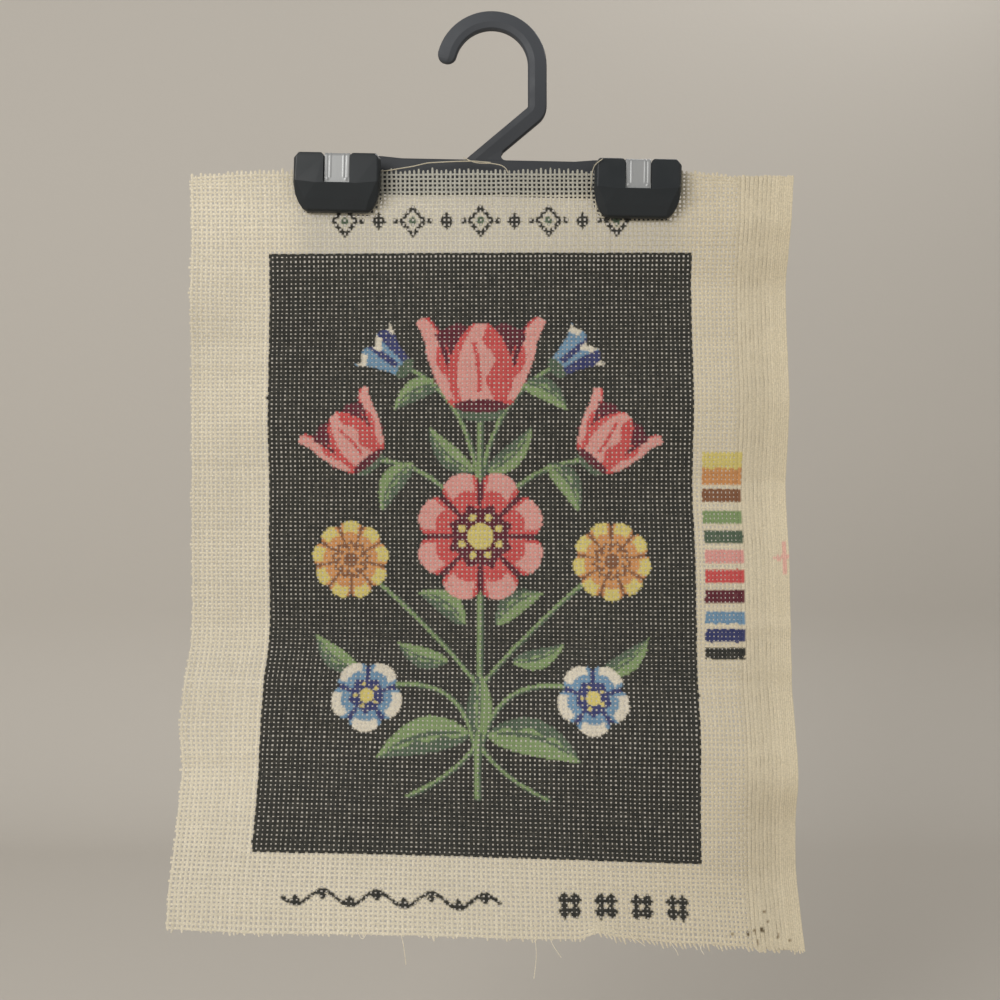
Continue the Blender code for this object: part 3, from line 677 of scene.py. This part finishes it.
def canvas_threads(look):
    rng = np.random.default_rng(11)
    stations = np.arange(0, WEFT_LINES * 2 + 1) / 2.0
    edges = [round(FIRST_WEFT + (WEFT_LINES - FIRST_WEFT) * k / BANDS) for k in range(BANDS + 1)]
    warps = np.concatenate((np.arange(PLAIN_WARPS) + 0.5, PLAIN_WARPS + 0.25 + np.arange(SELVEDGE_WARPS) / 2))
    selvedge = (warps > PLAIN_WARPS)[:, None]
    count = warps.size
    steadiness = 1 - DENSE_STEADINESS * density(warps)[:, None]
    warp_drift = wander(rng, count, stations, THREAD_DRIFT[0]) * steadiness
    warp_size = 1 + wander(rng, count, stations, THICK_AND_THIN, SIZE_WAVES)
    warp_tone = rng.normal(1.0, TONE_SPREAD, count) + np.where(selvedge[:, 0], SELVEDGE_TONE, 0.0)
    across = np.arange(0, WARP_LINES * 2 + 1) / 2.0
    wefts = np.arange(FIRST_WEFT, WEFT_LINES) + 0.5
    weft_drift = wander(rng, wefts.size, across, THREAD_DRIFT[1])
    weft_size = 1 + wander(rng, wefts.size, across, THICK_AND_THIN, SIZE_WAVES)
    weft_tone = rng.normal(1.0, TONE_SPREAD, wefts.size)
    top_reach = rng.normal(*TOP_REACH, count)
    frayed = (warps > FRAY_SPAN[0]) & (warps < FRAY_SPAN[1])
    bottom_reach = np.where(frayed, FRAY_LONG, FRAY_SHORT) + rng.normal(0, FRAY_SPREAD, count)
    bottom_lean = np.where(frayed, FRAY_LEAN, 0.0) + rng.normal(0, FRAY_LEAN_SPREAD, count)
    for band in range(BANDS):
        yarns = Yarns()
        first, last = edges[band], edges[band + 1]
        low, high = (0 if band == 0 else first * 2), (WEFT_LINES * 2 if band == BANDS - 1 else last * 2)
        start, stop = max(low - 1, 0), min(high + 1, stations.size - 1)
        spare = (low - start, stop - high)
        part = slice(start, stop + 1)
        lines = np.repeat(stations[None, part], count, axis=0).copy()
        u = warps[:, None] + warp_drift[:, part]
        size = warp_size[:, part].copy()
        if band == 0:
            lines[:, :3] += (-top_reach[:, None]) * np.array((1.0, 0.6, 0.2))
            size[:, 0] *= 0.7
        if band == BANDS - 1:
            lines[:, -3:] += bottom_reach[:, None] * np.array((0.1, 0.4, 1.0))
            u[:, -2:] += bottom_lean[:, None] * np.array((0.15, 1.0))
            size[:, -2:] *= np.array((0.9, 0.45))
        colours, cover = thread_colours(u, lines, -0.5 * WARP_WIDTH / WARP_PITCH, 0.0, warp_tone, rng)
        sign = np.cos(np.pi * (stations[None, part] - 0.5 + np.arange(count)[:, None]))
        dense = density(u)
        fronts = sheet_front(u, lines)
        lift = CRIMP * sign * (1 - DENSE_CRIMP_LOSS[0] * dense) + DENSE_WARP_RISE * dense
        places = sheet_place(u, lines) + fronts * lift[..., None]
        close = WARP_PITCH * np.where(selvedge, SELVEDGE_CLOSE, DENSE_CLOSE[0])
        half = (WARP_WIDTH * (1 + INK_SWELL * cover) * (1 - dense) + close * dense) / 2 * size
        half = np.where(selvedge, close / 2 * size, half) * (1 - OPENED * between_clips(u, lines))
        kept = colours[:, spare[0]:colours.shape[1] - spare[1]]
        yarns.add(places, fronts, half, np.full(half.shape, THREAD_DEPTH / 2), kept, spare)
        rows = (wefts > first) & (wefts < last)
        number = int(rows.sum())
        v = wefts[rows][:, None] + weft_drift[rows]
        u = np.repeat(across[None], number, axis=0).copy()
        u[:, 0] += rng.normal(0.0, WEFT_END_SPREAD, number)
        u[:, -1] -= WEFT_END_SHORT
        colours, cover = thread_colours(u, v, 0.0, 0.5 * WEFT_WIDTH / WEFT_PITCH, weft_tone[rows], rng)
        sign = -np.cos(np.pi * (across[None] - 0.5 + np.floor(wefts[rows])[:, None]))
        dense = density(u)
        # Painted shade: the weft sunk under the crowded warps is darkened
        colours = colours * (1 - DENSE_WEFT_SHADE * dense * (u < PLAIN_WARPS))[..., None, None, None]
        fronts = sheet_front(u, v)
        lift = CRIMP * sign * (1 - DENSE_CRIMP_LOSS[1] * dense) - DENSE_WEFT_SINK * dense
        places = sheet_place(u, v) + fronts * lift[..., None]
        half = (WEFT_WIDTH * (1 + INK_SWELL * cover) * (1 - dense) + WEFT_PITCH * DENSE_CLOSE[1] * dense) / 2
        half = half * weft_size[rows] * (1 - OPENED * between_clips(u, v))
        yarns.add(places, fronts, half, np.full(half.shape, THREAD_DEPTH / 2), colours)
        if band == 0:
            loose_threads(yarns, LOOSE_TOP, LOOSE_TOP_TONE)
        if band == BANDS - 1:
            loose_threads(yarns, LOOSE_BOTTOM, LOOSE_BOTTOM_TONE)
        made = yarns.build(f"canvas_band_{band + 1}", look)
        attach(made, "root")
        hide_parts("canvas")


# Springs, in the bar's own frame, in millimetres
BAR_ORIGIN = (-1.7, 0.0, -69.1)
BAR_LEAN = math.radians(1.15)
CLIP_OFFSET = 75.2
SPRING_HALF_WIDTH = 6.3
SPRING_THICKNESS = 0.9
SPRING_END_DROP = 15.4
SPRING_LEG_FROM_PLANE = 6.3
SPRING_BEND_RADIUS = 2.2
SPRING_LEG_STEPS = 36
SPRING_BEND_STEPS = 8
SPRING_ACROSS_STEPS = 61
# Ribs: distance from the strip's middle, and rise
RIB_ROWS = ((0.0, 0.0), (2.7, 0.0), (3.1, 0.16), (3.6, 0.16), (4.0, -0.08), (4.4, -0.08), (4.8, 0.1),
            (5.9, 0.1), (6.3, -0.06))
RIB_END_DROP = 13.2
DIMPLE_ACROSS = 4.7
DIMPLE_DROP = 13.6
DIMPLE_SPREAD = 0.3515625
DIMPLE_RISE = 0.34


def spring(name, node, x, look):
    """The bent strip with its two embossed ribs and the dimples at the foot of its legs."""
    outer = SPRING_LEG_FROM_PLANE + SPRING_THICKNESS
    drops = np.linspace(SPRING_END_DROP, SPRING_BEND_RADIUS, SPRING_LEG_STEPS)[:-1]
    turns = np.linspace(0, math.pi / 2, SPRING_BEND_STEPS)
    centre = outer - SPRING_BEND_RADIUS
    half_line = [(outer, drop, 1.0, 0.0) for drop in drops]
    half_line += [(centre + SPRING_BEND_RADIUS * math.cos(a), SPRING_BEND_RADIUS * (1 - math.sin(a)),
                   math.cos(a), -math.sin(a)) for a in turns]
    line = np.array(half_line + [(-rise, drop, -out, down) for rise, drop, out, down in reversed(half_line)])
    across = np.linspace(-SPRING_HALF_WIDTH, SPRING_HALF_WIDTH, SPRING_ACROSS_STEPS)
    rows = np.array(RIB_ROWS)
    rib = np.interp(np.abs(across), rows[:, 0], rows[:, 1])
    fade = np.clip(RIB_END_DROP - line[:, 1], 0, 1)
    swell = rib[None] * fade[:, None]
    near = (np.abs(across)[None] - DIMPLE_ACROSS) ** 2 + (line[:, 1, None] - DIMPLE_DROP) ** 2
    swell = swell + DIMPLE_RISE * np.exp(-near / DIMPLE_SPREAD)
    faces = []
    for depth in (0.0, SPRING_THICKNESS):
        height = (swell if depth == 0.0 else np.zeros_like(swell)) - depth
        rise = line[:, 0, None] + line[:, 2, None] * height
        drop = line[:, 1, None] + line[:, 3, None] * height
        place = (x + np.broadcast_to(across, rise.shape), rise + SHEET_PLANE_Y, -drop)
        faces.append(np.stack(place, axis=-1))
    cos, sin = math.cos(BAR_LEAN), math.sin(BAR_LEAN)
    lean = np.array(((cos, 0, sin), (0, 1, 0), (-sin, 0, cos)))
    points = np.concatenate([face.reshape(-1, 3) for face in faces]) @ lean.T + np.array(BAR_ORIGIN)
    tall, wide = line.shape[0], across.size
    index = np.arange(tall * wide).reshape(tall, wide)
    top = np.stack((index[:-1, :-1], index[:-1, 1:], index[1:, 1:], index[1:, :-1]), axis=-1).reshape(-1, 4)
    under = top[:, ::-1] + tall * wide
    rim = np.concatenate((index[0, :-1], index[:-1, -1], index[-1, :0:-1], index[:0:-1, 0]))
    following = np.roll(rim, -1)
    skirt = np.stack((following, rim, rim + tall * wide, following + tall * wide), axis=-1)
    made = new_mesh(name, points, np.concatenate((top, under, skirt)), look)
    made.data.set_sharp_from_angle(angle=math.radians(40))
    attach(made, "root")
    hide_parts(node)


# Materials
def node_material(name, roughness, colour=(0.5, 0.5, 0.5), metallic=0.0, **extra):
    made = bpy.data.materials.new(name)
    made.use_nodes = True
    shader = made.node_tree.nodes["Principled BSDF"]
    shader.inputs["Base Color"].default_value = (*colour, 1.0)
    shader.inputs["Roughness"].default_value = roughness
    shader.inputs["Metallic"].default_value = metallic
    for socket, value in extra.items():
        shader.inputs[socket.replace("_", " ")].default_value = value
    return made, made.node_tree.nodes, made.node_tree.links, shader


def noise(nodes, links, scale, detail=2.0, coordinates=None):
    made = nodes.new("ShaderNodeTexNoise")
    made.inputs["Scale"].default_value = scale
    made.inputs["Detail"].default_value = detail
    if coordinates is None:
        coordinates = nodes.new("ShaderNodeTexCoord").outputs["Object"]
    links.new(coordinates, made.inputs["Vector"])
    return made.outputs["Fac"]


def ramp(nodes, links, source, low, high, from_low=0.3, from_high=0.7):
    made = nodes.new("ShaderNodeMapRange")
    made.inputs["From Min"].default_value = from_low
    made.inputs["From Max"].default_value = from_high
    made.inputs["To Min"].default_value = low
    made.inputs["To Max"].default_value = high
    links.new(source, made.inputs["Value"])
    return made.outputs["Result"]


def bump(nodes, links, shader, source, distance, strength=1.0):
    made = nodes.new("ShaderNodeBump")
    made.inputs["Distance"].default_value = distance
    made.inputs["Strength"].default_value = strength
    links.new(source, made.inputs["Height"])
    links.new(made.outputs["Normal"], shader.inputs["Normal"])


def scaled(nodes, links, colour, factor):
    made = nodes.new("ShaderNodeVectorMath")
    made.operation = "SCALE"
    links.new(colour, made.inputs[0])
    links.new(factor, made.inputs["Scale"])
    return made.outputs["Vector"]


def cloth_look():
    made, nodes, links, shader = node_material("canvas cloth", 0.9, Specular_IOR_Level=0.08,
                                               Subsurface_Weight=0.12, Subsurface_Scale=0.0012)
    shader.inputs["Subsurface Radius"].default_value = (1.0, 0.85, 0.6)
    ink = nodes.new("ShaderNodeAttribute")
    ink.attribute_name = "print"
    fibre = noise(nodes, links, 1500.0, 3.0)
    broad = noise(nodes, links, 14.0, 3.0)
    mottled = scaled(nodes, links, ink.outputs["Color"], ramp(nodes, links, fibre, 0.84, 1.14))
    toned = scaled(nodes, links, mottled, ramp(nodes, links, broad, 0.94, 1.05))
    links.new(toned, shader.inputs["Base Color"])
    bump(nodes, links, shader, fibre, 0.00008, 0.6)
    return made


# Heights between which the hanger's painted top light fades out, in metres
TOP_LIGHT_SPAN = (-0.062, -0.012)


def plastic_look(name, colour, smooth, rough, shine, low=1.0):
    """Black plastic; low is how bright it stays below the hook, where the painted top light has faded out."""
    made, nodes, links, shader = node_material(name, rough, colour, Specular_IOR_Level=shine)
    # Painted light: the colour is lighter higher up, as if the hook catches light from above
    if low < 1.0:
        height, plain = nodes.new("ShaderNodeSeparateXYZ"), nodes.new("ShaderNodeRGB")
        links.new(nodes.new("ShaderNodeTexCoord").outputs["Object"], height.inputs["Vector"])
        plain.outputs["Color"].default_value = (*colour, 1.0)
        top_lit = scaled(nodes, links, plain.outputs["Color"],
                        ramp(nodes, links, height.outputs["Z"], low, 1.0, *TOP_LIGHT_SPAN))
        links.new(top_lit, shader.inputs["Base Color"])
    grain = noise(nodes, links, 2600.0, 2.0)
    scuff = noise(nodes, links, 90.0, 4.0)
    links.new(ramp(nodes, links, scuff, smooth, rough), shader.inputs["Roughness"])
    bump(nodes, links, shader, grain, 0.00002, 0.5)
    return made


def steel_look():
    made, nodes, links, shader = node_material("spring steel", 0.4, (0.305, 0.309, 0.307), metallic=0.3)
    place = nodes.new("ShaderNodeTexCoord")
    stretch = nodes.new("ShaderNodeMapping")
    stretch.inputs["Scale"].default_value = (1.0, 1.0, 0.04)
    links.new(place.outputs["Object"], stretch.inputs["Vector"])
    brushed = noise(nodes, links, 2400.0, 2.0, stretch.outputs["Vector"])
    links.new(ramp(nodes, links, brushed, 0.36, 0.5), shader.inputs["Roughness"])
    bump(nodes, links, shader, brushed, 0.00001, 0.5)
    return made


def wall_look(name, colour):
    made, nodes, links, shader = node_material(name, 0.95, tuple(linear(colour)))
    bump(nodes, links, shader, noise(nodes, links, 160.0, 4.0), 0.0004, 0.3)
    return made


# Stage
def stage(look):
    """One pale sheet: a floor that curves up into a backdrop far behind the object."""
    floor_z, back_y, curve, near_y, top_z, half = -620.0, 950.0, 260.0, -1600.0, 1500.0, 1800.0
    profile = [(near_y, floor_z)]
    for k in range(17):
        a = math.pi / 2 * k / 16
        profile.append((back_y - curve + curve * math.sin(a), floor_z + curve - curve * math.cos(a)))
    profile.append((back_y, top_z))
    points = np.array([(x, y, z) for y, z in profile for x in (-half, half)])
    quads = np.array([(2 * k, 2 * k + 1, 2 * k + 3, 2 * k + 2) for k in range(len(profile) - 1)])
    made = new_mesh("backdrop", points, quads, look)


def area_light(name, place, size, power, colour):
    data = bpy.data.lights.new(name, "AREA")
    data.shape = "DISK"
    data.size = size
    data.energy = power
    data.color = colour
    made = bpy.data.objects.new(name, data)
    bpy.context.scene.collection.objects.link(made)
    made.location = place
    made.rotation_mode = "QUATERNION"
    made.rotation_quaternion = (Vector(LIGHT_TARGET) - Vector(place)).to_track_quat("-Z", "Y")


# Lights: name, place, size, power and colour, all turned to the middle of the cloth
LIGHT_TARGET = (0.0, 0.0, -0.22)
LIGHT_ROWS = (
    ("key", (-1.15, -1.5, 0.62), 1.3, 33.5, (1.0, 0.99, 0.97)),
    ("fill", (1.3, -1.4, 0.1), 1.2, 4.0, (0.97, 0.985, 1.0)),
    ("back", (0.5, 0.8, 0.9), 0.8, 6.0, (1.0, 1.0, 1.0)),
)


def lights():
    for name, place, size, power, colour in LIGHT_ROWS:
        area_light(name, place, size, power, colour)
    world = bpy.data.worlds.new("studio")
    world.use_nodes = True
    world.node_tree.nodes["Background"].inputs["Color"].default_value = (*linear((206, 205, 203)), 1.0)
    world.node_tree.nodes["Background"].inputs["Strength"].default_value = 0.62
    bpy.context.scene.world = world
    bpy.context.scene.view_settings.view_transform = "Standard"


def camera():
    data = bpy.data.cameras.new("camera")
    data.sensor_width = SENSOR
    data.lens = SENSOR * FOCAL_SHARE
    data.clip_start, data.clip_end = 0.01, 20.0
    made = bpy.data.objects.new("camera", data)
    bpy.context.scene.collection.objects.link(made)
    made.location = CAMERA_PLACE
    made.rotation_euler = (math.pi / 2 + CAMERA_PITCH, 0.0, 0.0)
    bpy.context.scene.camera = made


def dress(node, look):
    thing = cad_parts[node]
    thing.data.materials.clear()
    thing.data.materials.append(look)


def main():
    camera()
    lights()
    stage(wall_look("backdrop paper", (191, 185, 176)))
    # The hanger's plastic has a lighter colour than the jaws' plastic of the same kind: painted light on the
    # hook
    moulding = plastic_look("black plastic", (0.046, 0.05, 0.057), 0.52, 0.68, 0.38, 0.6)
    jaws = plastic_look("worn black plastic", (0.0175, 0.0205, 0.0225), 0.34, 0.5, 0.29)
    steel = steel_look()
    dress("hanger", moulding)
    dress("front_jaw_left", jaws)
    dress("front_jaw_right", jaws)
    for end, x in (("left", -CLIP_OFFSET), ("right", CLIP_OFFSET)):
        spring("spring_strip_" + end, "spring_" + end, x, steel)
    canvas_threads(cloth_look())


main()
